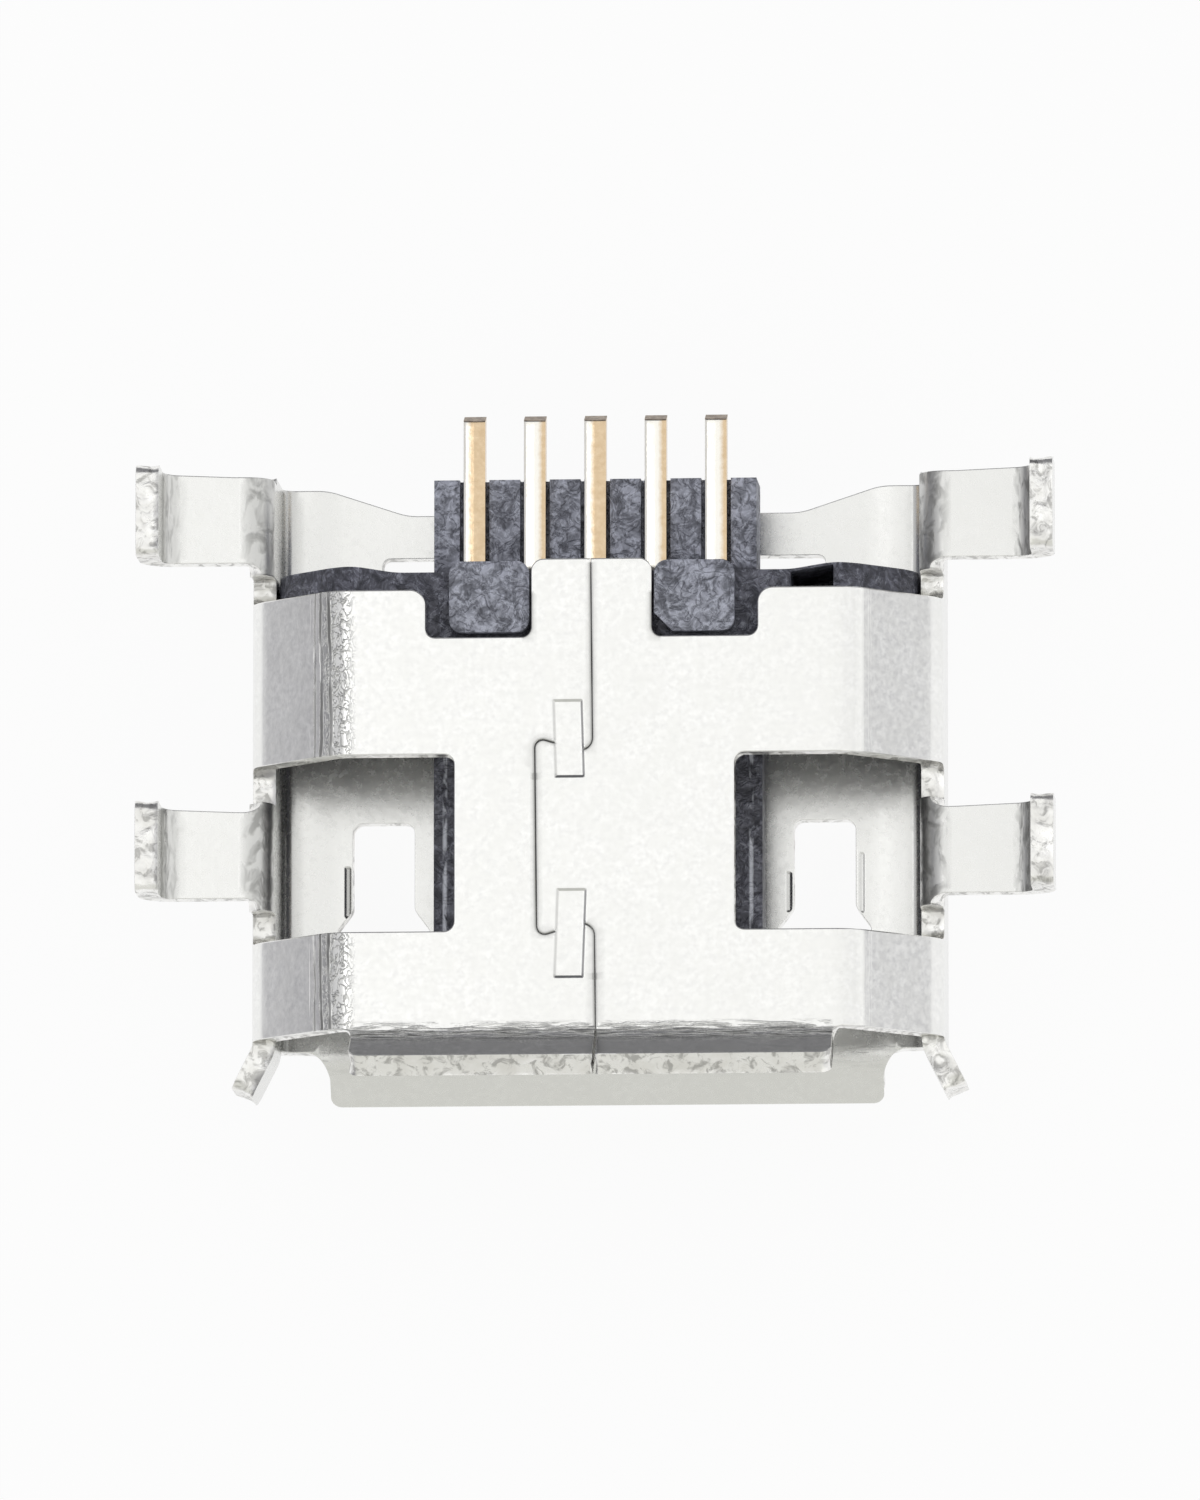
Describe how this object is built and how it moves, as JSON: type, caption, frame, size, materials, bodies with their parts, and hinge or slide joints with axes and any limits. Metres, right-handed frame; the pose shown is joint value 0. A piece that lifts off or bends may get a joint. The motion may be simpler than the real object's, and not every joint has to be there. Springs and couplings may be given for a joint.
{
  "type": "charging port",
  "caption": "Board-mounted charging port: a folded and plated sheet shell with flared lips and through-board legs, a moulded insulator with a tongue, and sprung contacts with straight solder tails.",
  "frame": {"origin": "middle of the wide face's outside, half way between the mouth's edge and the rear edge", "axes": "+X across the port, +Y from the mouth towards the contact tails, +Z from the wide face towards the narrow face and the board"},
  "size_m": [0.0098, 0.0074, 0.003],
  "materials": {
    "plated_sheet": "satin matte tin plate",
    "moulding": "glass-filled, slightly rough",
    "contacts": "thin gold plate over nickel, satin"
  },
  "bodies": {
    "root": {"shell": "plated_sheet", "housing": "moulding", "contact_1": "contacts", "contact_2": "contacts", "contact_3": "contacts", "contact_4": "contacts", "contact_5": "contacts"}
  },
  "joints": []
}
